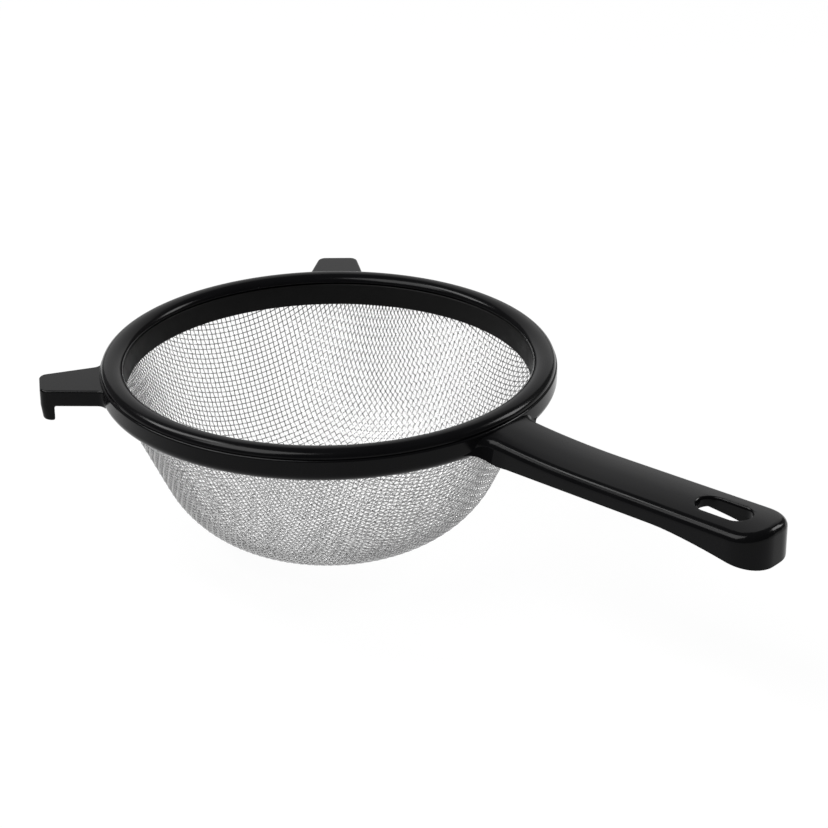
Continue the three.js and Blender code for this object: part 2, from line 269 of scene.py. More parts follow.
def apply_modifier(piece, kind, **settings):
    """Adds a modifier with its settings and applies it."""
    alone(piece)
    modifier = piece.modifiers.new(kind.title(), kind)
    for name, value in settings.items():
        setattr(modifier, name, value)
    bpy.ops.object.modifier_apply(modifier=modifier.name)


def combine(piece, other, operation):
    """Joins another piece to this one, or cuts it out of it."""
    apply_modifier(piece, "BOOLEAN", operation=operation, solver="EXACT", object=other)
    bpy.data.objects.remove(other)
    if not piece.data.polygons:
        raise RuntimeError(f"nothing is left of {piece.name}")


def close_up():
    """Merges the doubles of the piece in edit mode and turns all its faces outwards."""
    bpy.ops.mesh.select_all(action="SELECT")
    bpy.ops.mesh.remove_doubles(threshold=SAME_PLACE)
    bpy.ops.mesh.normals_make_consistent(inside=False)


def spin_section(piece, steps):
    """Turns a flat section in the XZ plane about the Z axis into a closed ring."""
    edit(piece)
    bpy.ops.mesh.select_all(action="SELECT")
    bpy.ops.mesh.delete(type="ONLY_FACE")
    bpy.ops.mesh.select_all(action="SELECT")
    bpy.ops.mesh.spin(steps=steps, angle=2 * math.pi, center=(0, 0, 0), axis=(0, 0, 1))
    close_up()
    leave()


def flat_section(name, inner, outer, low, high):
    """A rectangle in the XZ plane, from an inner to an outer radius."""
    centre = ((inner + outer) / 2, 0, (low + high) / 2)
    bpy.ops.mesh.primitive_plane_add(size=1, location=centre, rotation=(math.pi / 2, 0, 0))
    return placed(name, (outer - inner, high - low, 1))


def round_corner(piece, test, radius, segments):
    """Rounds the corners of a flat section for which the test holds."""
    pick(piece, "verts", test)
    bpy.ops.mesh.bevel(offset=radius, segments=segments, affect="VERTICES", profile=0.5)


def smooth(piece):
    alone(piece)
    bpy.ops.object.shade_smooth_by_angle(angle=SHARP_ANGLE)


def dress(piece, material, slot, *nodes):
    """Gives a finished piece its material, hangs it on the root body and hides the CAD nodes that it stands
    for.
    """
    piece.data.materials.clear()
    piece.data.materials.append(material)
    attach(piece, "root")
    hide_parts(*nodes)


def add_node(tree, kind, values=None, links=None, **settings):
    """Adds a node with its settings and input values, and links outputs of other nodes to its inputs."""
    node = tree.nodes.new(kind)
    for name, value in settings.items():
        setattr(node, name, value)
    for name, value in (values or {}).items():
        node.inputs[name].default_value = value
    for name, (source, output) in (links or {}).items():
        tree.links.new(source.outputs[output], node.inputs[name])
    return node


def new_material(name):
    material = bpy.data.materials.new(name)
    material.use_nodes = True
    material.node_tree.nodes.clear()
    return material, material.node_tree


def polished_abs(colours):
    """ABS moulded in a polished tool: deep black with a clear gloss that is never quite even."""
    material, tree = new_material("polished_black_abs")
    place = add_node(tree, "ShaderNodeTexCoord")
    # Flow of the melt: cloudy patches about 12 mm across, a little duller and paler than the rest.
    flow = add_node(
        tree,
        "ShaderNodeTexNoise",
        {"Scale": 1 / (12 * MM), "Detail": 3.0, "Roughness": 0.55},
        {"Vector": (place, "Object")},
    )
    # Handling marks: short fine rubs about 1.5 mm apart, drawn coarser than real so that they show.
    rubs = add_node(
        tree,
        "ShaderNodeTexNoise",
        {"Scale": 1 / (1.5 * MM), "Detail": 4.0, "Roughness": 0.7},
        {"Vector": (place, "Object")},
    )
    shade = add_node(
        tree,
        "ShaderNodeMix",
        {"A": colours.frame, "B": colours.frame_worn},
        {"Factor": (flow, "Fac")},
        data_type="RGBA",
    )
    gloss = add_node(
        tree,
        "ShaderNodeMapRange",
        {"From Min": 0.3, "From Max": 0.7, "To Min": 0.13, "To Max": 0.2},
        {"Value": (flow, "Fac")},
    )
    # Sink and peel of a moulded skin: waves of about 4 mm, a few micrometres high.
    peel = add_node(
        tree,
        "ShaderNodeTexNoise",
        {"Scale": 1 / (4 * MM), "Detail": 1.0, "Roughness": 0.4},
        {"Vector": (place, "Object")},
    )
    swell = add_node(
        tree, "ShaderNodeBump", {"Strength": 0.12, "Distance": 0.05 * MM}, {"Height": (peel, "Fac")}
    )
    fine = add_node(
        tree,
        "ShaderNodeBump",
        {"Strength": 0.05, "Distance": 0.01 * MM},
        {"Height": (rubs, "Fac"), "Normal": (swell, "Normal")},
    )
    surface = add_node(
        tree,
        "ShaderNodeBsdfPrincipled",
        {"IOR": 1.54, "Specular IOR Level": 0.075},
        {"Base Color": (shade, "Result"), "Roughness": (gloss, "Result"), "Normal": (fine, "Normal")},
    )
    add_node(tree, "ShaderNodeOutputMaterial", links={"Surface": (surface, "BSDF")})
    return material


def satin_polypropylene(colours):
    """Polypropylene moulded in a spark-eroded tool: a dull black skin with a fine even grain."""
    material, tree = new_material("satin_black_polypropylene")
    place = add_node(tree, "ShaderNodeTexCoord")
    # Scuffs from the cloth and the press: patches about 8 mm across.
    scuffs = add_node(
        tree,
        "ShaderNodeTexNoise",
        {"Scale": 1 / (8 * MM), "Detail": 5.0, "Roughness": 0.65},
        {"Vector": (place, "Object")},
    )
    # Spark-eroded grain: real pits are about 0.1 mm, drawn at 0.4 mm so that they show.
    grain = add_node(
        tree,
        "ShaderNodeTexNoise",
        {"Scale": 1 / (0.4 * MM), "Detail": 2.0, "Roughness": 0.6},
        {"Vector": (place, "Object")},
    )
    shade = add_node(
        tree,
        "ShaderNodeMix",
        {"A": colours.ring, "B": colours.ring_worn},
        {"Factor": (scuffs, "Fac")},
        data_type="RGBA",
    )
    gloss = add_node(
        tree,
        "ShaderNodeMapRange",
        {"From Min": 0.3, "From Max": 0.7, "To Min": 0.38, "To Max": 0.55},
        {"Value": (scuffs, "Fac")},
    )
    pits = add_node(
        tree, "ShaderNodeBump", {"Strength": 0.2, "Distance": 0.03 * MM}, {"Height": (grain, "Fac")}
    )
    surface = add_node(
        tree,
        "ShaderNodeBsdfPrincipled",
        {"IOR": 1.49, "Specular IOR Level": 0.1},
        {"Base Color": (shade, "Result"), "Roughness": (gloss, "Result"), "Normal": (pits, "Normal")},
    )
    add_node(tree, "ShaderNodeOutputMaterial", links={"Surface": (surface, "BSDF")})
    return material


def drawn_stainless(colours):
    """Stainless wire drawn through a die: bright grey metal with a soft sheen and duller stretches."""
    material, tree = new_material("drawn_stainless_wire")
    place = add_node(tree, "ShaderNodeTexCoord")
    # Drawing film left on the wire: duller stretches about 6 mm long.
    film = add_node(
        tree,
        "ShaderNodeTexNoise",
        {"Scale": 1 / (6 * MM), "Detail": 4.0, "Roughness": 0.6},
        {"Vector": (place, "Object")},
    )
    # Die lines: real ones are a few micrometres apart, drawn at 0.3 mm so that they show.
    lines = add_node(
        tree,
        "ShaderNodeTexNoise",
        {"Scale": 1 / (0.3 * MM), "Detail": 1.0},
        {"Vector": (place, "Object")},
    )
    shade = add_node(
        tree,
        "ShaderNodeMix",
        {"A": colours.wire, "B": colours.wire_dark},
        {"Factor": (film, "Fac")},
        data_type="RGBA",
    )
    gloss = add_node(
        tree,
        "ShaderNodeMapRange",
        {"From Min": 0.3, "From Max": 0.7, "To Min": 0.15, "To Max": 0.26},
        {"Value": (film, "Fac")},
    )
    scored = add_node(
        tree, "ShaderNodeBump", {"Strength": 0.1, "Distance": 0.02 * MM}, {"Height": (lines, "Fac")}
    )
    surface = add_node(
        tree,
        "ShaderNodeBsdfPrincipled",
        {"Metallic": 1.0},
        {"Base Color": (shade, "Result"), "Roughness": (gloss, "Result"), "Normal": (scored, "Normal")},
    )
    add_node(tree, "ShaderNodeOutputMaterial", links={"Surface": (surface, "BSDF")})
    return material


def white_paper(colours):
    """Matt white background paper: it shows as white to the camera and keeps a soft shadow."""
    material, tree = new_material("white_background_paper")
    path = add_node(tree, "ShaderNodeLightPath")
    mirrored = add_node(
        tree,
        "ShaderNodeMath",
        links={0: (path, "Is Glossy Ray"), 1: (path, "Is Transmission Ray")},
        operation="MAXIMUM",
    )
    seen = add_node(
        tree,
        "ShaderNodeMath",
        links={0: (path, "Is Camera Ray"), 1: (mirrored, "Value")},
        operation="MAXIMUM",
    )
    share = add_node(
        tree, "ShaderNodeMath", {1: PAPER_GLOW}, {0: (seen, "Value")}, operation="MULTIPLY"
    )
    place = add_node(tree, "ShaderNodeTexCoord")
    # Paper fibre: a tooth of about 2 mm.
    tooth = add_node(
        tree, "ShaderNodeTexNoise", {"Scale": 1 / (2 * MM), "Detail": 2.0}, {"Vector": (place, "Object")}
    )
    bump = add_node(
        tree, "ShaderNodeBump", {"Strength": 0.05, "Distance": 0.05 * MM}, {"Height": (tooth, "Fac")}
    )
    paper = add_node(
        tree, "ShaderNodeBsdfDiffuse", {"Color": colours.floor}, {"Normal": (bump, "Normal")}
    )
    white = add_node(tree, "ShaderNodeEmission", {"Color": (1, 1, 1, 1), "Strength": 1.0})
    mixed = add_node(
        tree,
        "ShaderNodeMixShader",
        links={0: (share, "Value"), 1: (paper, "BSDF"), 2: (white, "Emission")},
    )
    add_node(tree, "ShaderNodeOutputMaterial", links={"Surface": (mixed, "Shader")})
    return material


def wall_ring(rim):
    """The rim's wall with its rounded foot, and a narrower neck on it that leaves the groove."""
    wall_top = rim.bead_edge - rim.groove
    wall = flat_section("sieve_frame", rim.inside, rim.outside, rim.bottom, wall_top)

    def outer(v):
        return near(v.co.x, rim.outside)

    def inner(v):
        return near(v.co.x, rim.inside)

    edit(wall)
    round_corner(wall, lambda v: outer(v) and v.co.z < 0, rim.foot_radius, segments=12)
    round_corner(wall, lambda v: inner(v) and v.co.z < 0, rim.edge_radius, segments=4)
    round_corner(wall, lambda v: outer(v) and near(v.co.z, wall_top), rim.shoulder, segments=6)
    leave()
    spin_section(wall, rim.steps)
    neck_inside = rim.inside + rim.edge_radius
    neck_outside = rim.outside - rim.bead_inset - rim.groove
    neck_low = wall_top - rim.groove
    neck_high = rim.bead_edge + rim.groove
    neck = flat_section("neck", neck_inside, neck_outside, neck_low, neck_high)
    spin_section(neck, rim.steps)
    combine(wall, neck, "UNION")
    return wall


def bead_ring(rim):
    """The rolled bead: an ellipse whose lower half is pressed almost flat."""
    half = rim.width / 2
    centre = rim.outside - rim.bead_inset - half
    rise = rim.bead_top - rim.bead_edge
    bpy.ops.mesh.primitive_circle_add(
        vertices=72,
        radius=1,
        fill_type="NGON",
        location=(centre, 0, rim.bead_edge),
        rotation=(math.pi / 2, 0, 0),
    )
    bead = placed("bead", (half, rise, 1))
    edit(bead)
    pick(bead, "verts", lambda v: v.co.z < rim.bead_edge - SAME_PLACE)
    flatten = (1, 1, rim.bead_roll / rise)
    bpy.ops.transform.resize(value=flatten, center_override=(centre, 0, rim.bead_edge))
    leave()
    spin_section(bead, rim.steps)
    return bead


def flare(half_width, rim, radius):
    """Where a fillet starts on the rim, and where it ends on the side of the handle or of an ear."""
    end = math.sqrt((rim.outside + radius) ** 2 - (half_width + radius) ** 2)
    return end * rim.outside / (rim.outside + radius), end


def fillet_places(half_width, rim, radius, shares):
    """Where a fillet is cut across."""
    start, end = flare(half_width, rim, radius)
    return [start + (end - start) * share for share in shares]


def ease(t):
    """From 0 to 1, slow at both ends."""
    t = min(max(t, 0.0), 1.0)
    return t * t * (3 - 2 * t)


def handle_half_width(handle, rim, radius, x):
    """Half the handle's width at a place, with a fillet of a radius next to the rim."""
    start, end = flare(handle.root_half_width, rim, radius)
    run = (x - rim.outside) / (handle.end - rim.outside)
    side = handle.root_half_width + run * (handle.end_half_width - handle.root_half_width)
    back = min(max(end - x, 0.0), end - start)
    return side + radius - math.sqrt(radius**2 - back**2)


def handle_top(handle, rim, x):
    """Height of the handle's top at a place: it comes down from the rim and then runs level."""
    run = min(max((x - rim.outside) / handle.settle, 0.0), 1.0)
    return handle.top + (handle.root_top - handle.top) * (1 - run) ** 2


def handle_bottom(handle, rim, x):
    """Height of the handle's lower edge at a place: out of the rim's foot, level, then down to the end."""
    start, _ = flare(handle.root_half_width, rim, handle.flare_radius)
    root = ease((x - handle.start) / (start + handle.root_run - handle.start))
    # The edge leaves the wall near the upper end of its rounded foot.
    share_of_foot = 0.8
    level = rim.bottom + share_of_foot * rim.foot_radius
    level += root * (handle.root_bottom - level)
    run = min(max((x - handle.end + handle.deepening) / handle.deepening, 0.0), 1.0)
    # It comes down gently at first, and then more steeply.
    steepening = 1.5
    return level + (handle.end_bottom - level) * run**steepening


def handle_stations(handle, rim):
    """Where the handle is cut across: close together in the fillets, then evenly to the round end."""
    half = handle.root_half_width
    stations = fillet_places(half, rim, handle.flare_radius, HANDLE_FILLET)
    stations += fillet_places(half, rim, handle.foot_flare, FOOT_FILLET)
    straight_start = max(stations)
    straight = handle.end - handle.corner_radius - straight_start
    count = round(straight / HANDLE_STEP)
    return sorted(stations + [straight_start + straight * k / count for k in range(1, count + 1)])


def rounded_block(name, start, end, half, top, low, corner, edge):
    """A block with a round end and a rounded upper edge, cut into a grid along the points of that end."""
    bpy.ops.mesh.primitive_cube_add(
        size=1, location=((start + end) / 2, 0, (top + low) / 2), scale=(end - start, 2 * half, top - low)
    )
    piece = placed(name)

    def upright_at_end(e):
        one, other = (v.co for v in e.verts)
        return near(one.x, end) and near(other.x, end) and near(one.y, other.y)

    def upper_outline(e):
        on_top = all(v.co.z > top - SAME_PLACE for v in e.verts)
        at_start = all(v.co.x < start + MM for v in e.verts)
        return on_top and not at_start

    edit(piece)
    pick(piece, "edges", upright_at_end)
    segments = 12
    bpy.ops.mesh.bevel(offset=corner, segments=segments, affect="EDGES", profile=0.5)
    pick(piece, "edges", upper_outline)
    bpy.ops.mesh.bevel(offset=edge, segments=6, affect="EDGES", profile=0.5)
    # The grid meets every second point of the round end.
    angles = [math.radians(90 * k / segments) for k in range(segments + 1)]
    along = [end - corner * (1 - math.sin(angles[k])) for k in (2, 4, 6)]
    across = [half - corner * (1 - math.cos(angles[k])) for k in (6, 8, 10, 12)]
    for x in along:
        cut(piece, (x, 0, 0), (1, 0, 0))
    for y in [0, *across, *[-y for y in across]]:
        cut(piece, (0, y, 0), (0, 1, 0))
    return piece


def cut(piece, point, direction):
    """Cuts all faces of the piece in edit mode along a plane."""
    bpy.ops.mesh.select_all(action="SELECT")
    bpy.ops.mesh.bisect(plane_co=point, plane_no=direction, threshold=SAME_PLACE)


def aside(v):
    """How far a point lies from the middle plane of the handle."""
    return abs(v.co.y)


def runs_of(piece, get, test):
    """Runs of nearly equal values of a measure over the tested points of the piece in edit mode."""
    mesh = bmesh.from_edit_mesh(piece.data)
    values = sorted(get(v) for v in mesh.verts if test(v))
    runs = [[values[0], values[0]]]
    for value in values[1:]:
        if value - runs[-1][1] < 5 * SAME_PLACE:
            runs[-1][1] = value
        else:
            runs.append([value, value])
    return runs


def crown_over(piece, crown, half, test):
    """Lowers the tested points towards the sides, so that the middle stands up as a crown."""
    for low, high in runs_of(piece, aside, test):
        pick(piece, "verts", lambda v: test(v) and low <= aside(v) <= high)
        bpy.ops.transform.translate(value=(0, 0, -crown * (low / half) ** 2))


def shape_block(piece, half, split, crown, stations):
    """Crowns the part above the split, then sets width, top and lower edge at every station along X."""

    def above(v):
        return v.co.z > split

    def below(v):
        return v.co.z <= split

    crown_over(piece, crown, half, above)
    for part, test in enumerate((above, below)):
        for low, high in runs_of(piece, lambda v: v.co.x, test):
            pick(piece, "verts", lambda v: test(v) and low <= v.co.x <= high)
            widen, lift = stations(low)[part]
            bpy.ops.transform.resize(value=(1, widen, 1), center_override=(low, 0, 0))
            bpy.ops.transform.translate(value=(0, 0, lift))
    leave()


def handle_outside(handle, rim):
    """The handle as a full block, from inside the rim's wall to its round end."""
    half = handle.end_half_width
    piece = rounded_block(
        "handle", handle.start, handle.end, half, handle.top, handle.end_bottom,
        handle.corner_radius, handle.edge_radius,
    )
    for x in handle_stations(handle, rim):
        cut(piece, (x, 0, 0), (1, 0, 0))

    def stations(x):
        upper = handle_half_width(handle, rim, handle.flare_radius, x) / half
        lower = handle_half_width(handle, rim, handle.foot_flare, x) / half
        lift = handle_top(handle, rim, x) - handle.top
        return (upper, lift), (lower, handle_bottom(handle, rim, x) - handle.end_bottom)

    shape_block(piece, half, (handle.top + handle.end_bottom) / 2, handle.crown, stations)
    return piece


def handle_hollow(handle, rim):
    """What is left out underneath the handle, one wall thickness inside it."""
    wall = handle.wall
    half = handle.end_half_width - wall
    top = handle.top - wall
    low = handle.end_bottom - wall
    start = flare(handle.root_half_width, rim, handle.flare_radius)[1] + wall
    # The inner edge is a third as round as the outer one.
    edge = handle.edge_radius / 3
    piece = rounded_block(
        "hollow", start, handle.end - wall, half, top, low, handle.corner_radius - wall, edge
    )
    for x in handle_stations(handle, rim):
        if x > start + MM:
            cut(piece, (x, 0, 0), (1, 0, 0))

    def stations(x):
        widen = (handle_half_width(handle, rim, handle.flare_radius, x) - wall) / half
        return (widen, handle_top(handle, rim, x) - handle.top), (widen, 0.0)

    shape_block(piece, half, (top + low) / 2, handle.crown, stations)
    return piece


def slot_bar(handle, thicker, low):
    """A round-ended upright bar in the place of the hang slot, thicker all round, from a height up."""
    centre = handle.end - handle.slot_from_end
    size = (handle.slot_length + 2 * thicker, handle.slot_width + 2 * thicker, CLEAR - low)
    level = (low + CLEAR) / 2
    bpy.ops.mesh.primitive_cube_add(size=1, location=(centre, 0, level), scale=size)
    bar = placed("slot_bar")
    edit(bar)
    pick(bar, "edges", lambda e: near(middle(e).z, level))
    # Just under half the width: the bevels of an end all but meet, and their last points are merged.
    bpy.ops.mesh.bevel(offset=0.4999 * size[1], segments=12, affect="EDGES", profile=0.5)
    bpy.ops.mesh.select_all(action="SELECT")
    bpy.ops.mesh.remove_doubles(threshold=0.01 * MM)
    leave()
    return bar


def slot_cutter(handle):
    """What the hang slot takes away: wide above the handle, then in round the lip and straight down."""
    lip = handle.slot_lip
    # A little above the skin, so that the lip runs out in it without a step.
    brim = handle.top + 0.03 * MM

    def around_lip(v):
        return brim - 1.5 * lip < v.co.z < brim + SAME_PLACE

    cutter = slot_bar(handle, lip, brim)
    edit(cutter)
    steps = 6
    for k in range(steps):
        before = math.pi / 2 * k / steps
        after = math.pi / 2 * (k + 1) / steps
        pick(cutter, "faces", faces_down)
        bpy.ops.mesh.inset(
            thickness=lip * (math.sin(after) - math.sin(before)),
            depth=lip * (math.cos(before) - math.cos(after)),
            use_even_offset=True,
        )
    pick(cutter, "faces", faces_down)
    bpy.ops.mesh.extrude_region_move(TRANSFORM_OT_translate={"value": (0, 0, -CLEAR)})
    crown_over(cutter, handle.crown, handle.end_half_width, around_lip)
    leave()
    return cutter


def handle_channel(handle, rim):
    """The handle: a crowned skin of even thickness, open underneath, with a round-lipped hang slot."""
    piece = handle_outside(handle, rim)
    hollow = handle_hollow(handle, rim)
    combine(hollow, slot_bar(handle, handle.collar, handle.top - handle.collar_depth), "DIFFERENCE")
    combine(piece, hollow, "DIFFERENCE")
    combine(piece, slot_cutter(handle), "DIFFERENCE")
    return piece


def ear_half_width(ear, x):
    """Half an ear's width at a place, without the fillet at its root."""
    run = (x - ear.root) / (ear.reach - ear.root)
    return ear.root_half_width + run * (ear.tip_half_width - ear.root_half_width)


def widen_at(piece, x, share):
    """Widens or narrows the piece in edit mode at a place along the X axis."""
    pick(piece, "verts", lambda v: near(v.co.x, x))
    bpy.ops.transform.resize(value=(1, share, 1), center_override=(x, 0, 0))


def ear_plate(ear):
    """An ear along the X axis: a tapering plate with a hook at its tip and round corners."""
    lip = ear.reach - ear.hook_wall
    tip = ear.reach - ear.hook_taper - SAME_PLACE

    def tip_corner(e):
        at_tip = all(v.co.x > tip for v in e.verts)
        across = near(e.verts[0].co.y, -e.verts[1].co.y)
        return at_tip and not across

    bpy.ops.mesh.primitive_cube_add(
        size=1,
        location=((ear.root + ear.reach) / 2, 0, ear.top / 2),
        scale=(ear.reach - ear.root, 2 * ear.root_half_width, ear.top),
    )
    piece = placed("ear")
    edit(piece)
    cut(piece, (lip, 0, 0), (1, 0, 0))
    for x in (lip, ear.reach):
        widen_at(piece, x, ear_half_width(ear, x) / ear.root_half_width)
    pick(piece, "faces", lambda f: faces_down(f) and middle(f).x > lip)
    bpy.ops.mesh.extrude_region_move(TRANSFORM_OT_translate={"value": (0, 0, -ear.hook_drop)})
    pick(piece, "verts", lambda v: near(v.co.z, -ear.hook_drop) and near(v.co.x, ear.reach))
    bpy.ops.transform.translate(value=(-ear.hook_taper, 0, 0))
    pick(piece, "edges", tip_corner)
    bpy.ops.mesh.bevel(offset=ear.corner_radius, segments=5, affect="EDGES", profile=0.5)
    leave()
    apply_modifier(
        piece,
        "BEVEL",
        width=ear.edge_radius,
        segments=4,
        limit_method="ANGLE",
        angle_limit=math.radians(40),
        use_clamp_overlap=True,
    )
    return piece


def hook_ear(ear, rim, side):
    """One ear with a fillet at its root, turned to its place on the rim."""
    piece = ear_plate(ear)
    radius = ear.flare_radius
    start, end = flare(ear.root_half_width, rim, radius)
    places = fillet_places(ear.root_half_width, rim, radius, EAR_FILLET)
    edit(piece)
    for x in places:
        cut(piece, (x, 0, 0), (1, 0, 0))
    for x in places:
        back = min(end - x, end - start)
        wider = radius - math.sqrt(radius**2 - back**2)
        widen_at(piece, x, 1 + wider / ear_half_width(ear, x))
    leave()
    piece.rotation_euler.z = side * ear.angle
    return placed("ear")


class SIEVE_OT_frame(bpy.types.Operator):
    """Moulds the frame: the rim with its bead, the handle with its hang slot and the two hook ears"""

    bl_idname = "sieve.frame"
    bl_label = "Frame"

    def execute(self, context):
        scene = context.scene
        rim = scene.sieve_rim
        piece = wall_ring(rim)
        combine(piece, handle_channel(scene.sieve_handle, rim), "UNION")
        for side in (1, -1):
            combine(piece, hook_ear(scene.sieve_ear, rim, side), "UNION")
        combine(piece, bead_ring(rim), "UNION")
        smooth(piece)
        apply_modifier(piece, "WEIGHTED_NORMAL", keep_sharp=True)
        dress(piece, polished_abs(scene.sieve_colours), "gloss_black", "frame")
        return {"FINISHED"}


class SIEVE_OT_clamp_ring(bpy.types.Operator):
    """Turns the clamp ring that holds the cloth in the frame"""

    bl_idname = "sieve.clamp_ring"
    bl_label = "Clamp ring"

    def execute(self, context):
        scene = context.scene
        ring = scene.sieve_ring
        piece = flat_section("sieve_clamp_ring", ring.mouth, ring.outside, ring.bottom, ring.top)
        edit(piece)
        pick(piece, "verts", lambda v: near(v.co.x, ring.mouth) and near(v.co.z, ring.bottom))
        bpy.ops.transform.translate(value=(-ring.draft, 0, 0))
        round_corner(piece, lambda v: True, ring.edge_radius, segments=4)
        leave()
        spin_section(piece, scene.sieve_rim.steps)
        smooth(piece)
        dress(piece, satin_polypropylene(scene.sieve_colours), "satin_black", "clamp_ring")
        return {"FINISHED"}


def meridian_table(cloth):
    """The bowl's section as length, radius and height: dome, round, leaning side and trapped edge."""
    steps = 200
    lean, slope, rounding = cloth.lean, cloth.slope, cloth.round
    reach = rounding * math.cos(lean)
    dish = math.tan(slope / 2)
    spare = cloth.depth - rounding * (1 - math.sin(lean)) - dish * (cloth.radius - reach)
    side = spare / (math.cos(lean) - dish * math.sin(lean))
    centre_r = cloth.radius - side * math.sin(lean) - reach
    centre_z = cloth.edge - side * math.cos(lean) + rounding * math.sin(lean)
    dome = rounding + centre_r / math.sin(slope)
    dome_z = centre_z + (dome - rounding) * math.cos(slope)
    points = []
    for k in range(steps + 1):
        a = slope * k / steps
        points.append((dome * math.sin(a), dome_z - dome * math.cos(a)))
    for k in range(1, steps + 1):
        a = slope + (math.pi / 2 - lean - slope) * k / steps
        points.append((centre_r + rounding * math.sin(a), centre_z - rounding * math.cos(a)))
    points.append((cloth.radius, cloth.edge))
    # The trapped edge runs on far enough for the first crossings past the wires' ends.
    points.append((cloth.radius, cloth.edge + 10 * cloth.trapped))
    table = [(0.0, *points[0])]
    for before, here in zip(points, points[1:]):
        table.append((table[-1][0] + math.dist(before, here), *here))
    return table


def cloth_point(table, marks, a, b, offset):
    """The point of the cloth whose way up the bowl has the length and direction of (a, b)."""
    way = math.hypot(a, b)
    k = min(max(bisect_right(marks, way), 1), len(table) - 1)
    s0, r0, z0 = table[k - 1]
    s1, r1, z1 = table[k]
    t = (way - s0) / (s1 - s0)
    span = math.hypot(r1 - r0, z1 - z0)
    r = r0 + t * (r1 - r0) + offset * (z1 - z0) / span
    z = z0 + t * (z1 - z0) - offset * (r1 - r0) / span
    if way < SAME_PLACE:
        return (0.0, 0.0, z)
    return (r * a / way, r * b / way, z)


def next_crossing(place, pitch, p, q, o):
    """The crossing that is one pitch from both neighbours, by Newton steps from a parallelogram."""
    at_p, at_q = place(*p), place(*q)
    a, b = p[0] + q[0] - o[0], p[1] + q[1] - o[1]
    nudge = 1e-6
    close_enough = 1e-9
    most_steps = 12

    def miss(a, b):
        at = place(a, b)
        return math.dist(at, at_p) - pitch, math.dist(at, at_q) - pitch

    for _ in range(most_steps):
        f, g = miss(a, b)
        if abs(f) + abs(g) < close_enough:
            break
        fa, ga = miss(a + nudge, b)
        fb, gb = miss(a, b + nudge)
        fa, ga, fb, gb = (fa - f) / nudge, (ga - g) / nudge, (fb - f) / nudge, (gb - g) / nudge
        det = fa * gb - fb * ga
        a -= (f * gb - g * fb) / det
        b -= (g * fa - f * ga) / det
    return a, b


def cloth_net(cloth, place, reach):
    """One quarter of the cloth: row by row, each crossing one pitch from the two before it."""
    count = math.ceil(reach / cloth.pitch) + 1
    far = reach + cloth.pitch
    net = [[(i * cloth.pitch, 0.0)] for i in range(count + 1)]
    net[0] = [(0.0, j * cloth.pitch) for j in range(count + 1)]
    for i in range(1, count + 1):
        for j in range(1, count + 1):
            if j >= len(net[i - 1]):
                break
            beside, below = net[i - 1][j], net[i][j - 1]
            if min(math.hypot(*beside), math.hypot(*below)) > far:
                break
            net[i].append(next_crossing(place, cloth.pitch, beside, below, net[i - 1][j - 1]))
    return net


def half_wire(row, end):
    """The crossings of half a wire, from its middle to where it is cut off inside the trapped edge."""
    kept = []
    for point in row:
        if math.hypot(*point) <= end:
            kept.append(point)
            continue
        if kept:
            last = kept[-1]
            s0, s1 = math.hypot(*last), math.hypot(*point)
            t = (end - s0) / (s1 - s0)
            kept.append((last[0] + t * (point[0] - last[0]), last[1] + t * (point[1] - last[1])))
        break
    return kept


def crimped_wire(half, row, side, crimp):
    """A whole wire: over and under the wires that it crosses, through the cloth's middle between them."""
    crossings = []
    for j in range(1 - len(half), len(half)):
        a, b = half[abs(j)]
        lift = crimp if (row + j) % 2 else -crimp
        crossings.append((side * a, math.copysign(b, j) if j else 0.0, lift))
    points = crossings[:1]
    for before, here in zip(crossings, crossings[1:]):
        points.append(((before[0] + here[0]) / 2, (before[1] + here[1]) / 2, 0.0))
        points.append(here)
    return points


def wire_set(name, cloth, net, place_at, end, turn, crimp):
    """All the wires of one direction as crimped round wires, made a mesh."""
    # Five sides, because there are so many wires, each under half a millimetre thick.
    bpy.ops.mesh.primitive_circle_add(vertices=5, radius=cloth.wire / 2)
    section = placed("wire_section")
    bpy.ops.object.convert(target="CURVE")
    curve = bpy.data.curves.new(name, "CURVE")
    curve.dimensions = "3D"
    curve.bevel_mode = "OBJECT"
    curve.bevel_object = section
    curve.use_fill_caps = True
    cos, sin = math.cos(turn), math.sin(turn)
    for row, crossings in enumerate(net):
        half = half_wire(crossings, end)
        if len(half) < 2:
            continue
        # The wire through the middle of the bowl has no twin on the other side.
        for side in (1, -1) if row else (1,):
            points = crimped_wire(half, row, side, crimp)
            spline = curve.splines.new("POLY")
            spline.points.add(len(points) - 1)
            for point, (a, b, lift) in zip(spline.points, points):
                x, y, z = place_at(a, b, lift)
                point.co = (x * cos - y * sin, x * sin + y * cos, z, 1)
    piece = bpy.data.objects.new(name, curve)
    bpy.context.scene.collection.objects.link(piece)
    alone(piece)
    bpy.ops.object.convert(target="MESH")
    piece = bpy.context.active_object
    bpy.data.objects.remove(section)
    edit(piece)
    close_up()
    leave()
    bpy.ops.object.shade_smooth()
    return piece


class SIEVE_OT_wire_cloth(bpy.types.Operator):
    """Weaves the bowl: two sets of wires that go over and under each other in a plain weave"""

    bl_idname = "sieve.wire_cloth"
    bl_label = "Wire cloth"

    def execute(self, context):
        scene = context.scene
        cloth = scene.sieve_cloth
        table = meridian_table(cloth)
        marks = [length_along for length_along, _, _ in table]

        def place_at(a, b, lift=0.0):
            return cloth_point(table, marks, a, b, lift)

        end = table[-2][0] + cloth.trapped
        net = cloth_net(cloth, place_at, end)
        across = cloth.turn + math.pi / 2
        steel = drawn_stainless(scene.sieve_colours)
        warp = wire_set("sieve_warp", cloth, net, place_at, end, cloth.turn, cloth.warp_crimp)
        weft = wire_set("sieve_weft", cloth, net, place_at, end, across, -cloth.weft_crimp)
        dress(warp, steel, "steel_wire", "warp_wires")
        dress(weft, steel, "steel_wire", "weft_wires")
        return {"FINISHED"}


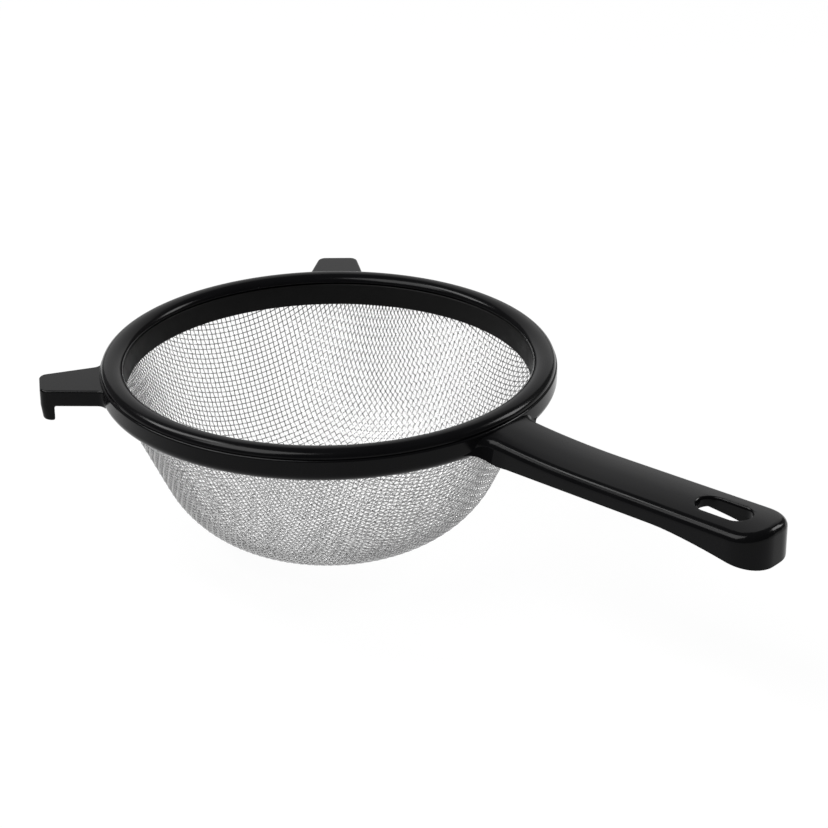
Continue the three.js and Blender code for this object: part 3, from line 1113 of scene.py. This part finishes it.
def soft_box(name, place, width, height, watts):
    """A rectangular studio lamp that faces the middle of the rim."""
    bpy.ops.object.light_add(type="AREA", location=place)
    lamp = bpy.context.active_object
    lamp.name = name
    lamp.data.shape = "RECTANGLE"
    lamp.data.size = width
    lamp.data.size_y = height
    lamp.data.energy = watts
    lamp.rotation_euler = (-place).to_track_quat("-Z", "Y").to_euler()


class SIEVE_OT_stage(bpy.types.Operator):
    """Lays a white paper floor and sets soft studio light and the camera"""

    bl_idname = "sieve.stage"
    bl_label = "Stage"

    def execute(self, context):
        scene = context.scene
        scene.view_settings.view_transform = "Standard"
        bpy.ops.mesh.primitive_plane_add(size=FLOOR_SIZE, location=(0, 0, BOWL_LOW.z))
        floor = placed("paper_floor")
        floor.data.materials.append(white_paper(scene.sieve_colours))

        world = bpy.data.worlds.new("studio")
        scene.world = world
        world.use_nodes = True
        tree = world.node_tree
        tree.nodes.clear()
        sky = add_node(tree, "ShaderNodeBackground", {"Color": (1, 1, 1, 1), "Strength": WORLD_STRENGTH})
        add_node(tree, "ShaderNodeOutputWorld", links={"Surface": (sky, "Background")})

        turn = [math.radians(degrees) for degrees in CAMERA_TURN]
        bpy.ops.object.camera_add(location=CAMERA_PLACE, rotation=turn)
        camera = bpy.context.active_object
        camera.name = "camera"
        camera.data.sensor_width = CAMERA_SENSOR
        camera.data.lens = CAMERA_LENS
        camera.data.clip_start = CAMERA_CLIP
        scene.camera = camera

        to_right = Vector((math.cos(turn[2]), math.sin(turn[2]), 0))
        to_back = Vector((-math.sin(turn[2]), math.cos(turn[2]), 0))
        to_top = Vector((0, 0, 1))
        for name, right, back, up, width, height, watts in LAMPS:
            place = right * to_right + back * to_back + up * to_top
            soft_box(name, place, width, height, watts)
        return {"FINISHED"}


class SIEVE_PT_tools(bpy.types.Panel):
    bl_label = "Sieve"
    bl_idname = "SIEVE_PT_tools"
    bl_space_type = "VIEW_3D"
    bl_region_type = "UI"
    bl_category = "Sieve"

    def draw(self, context):
        for operator in OPERATORS:
            self.layout.operator(operator.bl_idname)
        for name in GROUPS:
            settings = getattr(context.scene, name)
            box = self.layout.box()
            box.label(text=name.replace("_", " ").capitalize())
            for key in settings.bl_rna.properties.keys():
                if key not in ("rna_type", "name"):
                    box.prop(settings, key)


OPERATORS = (SIEVE_OT_stage, SIEVE_OT_frame, SIEVE_OT_clamp_ring, SIEVE_OT_wire_cloth)
GROUPS = {
    "sieve_rim": SieveRimSizes,
    "sieve_handle": SieveHandleSizes,
    "sieve_ear": SieveEarSizes,
    "sieve_ring": SieveRingSizes,
    "sieve_cloth": SieveClothSizes,
    "sieve_colours": SieveColours,
}
CLASSES = (*GROUPS.values(), *OPERATORS, SIEVE_PT_tools)


def register():
    for cls in CLASSES:
        bpy.utils.register_class(cls)
    for name, group in GROUPS.items():
        setattr(bpy.types.Scene, name, PointerProperty(type=group))


def unregister():
    for name in GROUPS:
        delattr(bpy.types.Scene, name)
    for cls in reversed(CLASSES):
        bpy.utils.unregister_class(cls)


def main():
    register()
    bpy.ops.sieve.stage()
    bpy.ops.sieve.frame()
    bpy.ops.sieve.clamp_ring()
    bpy.ops.sieve.wire_cloth()


if __name__ == "__main__":
    main()
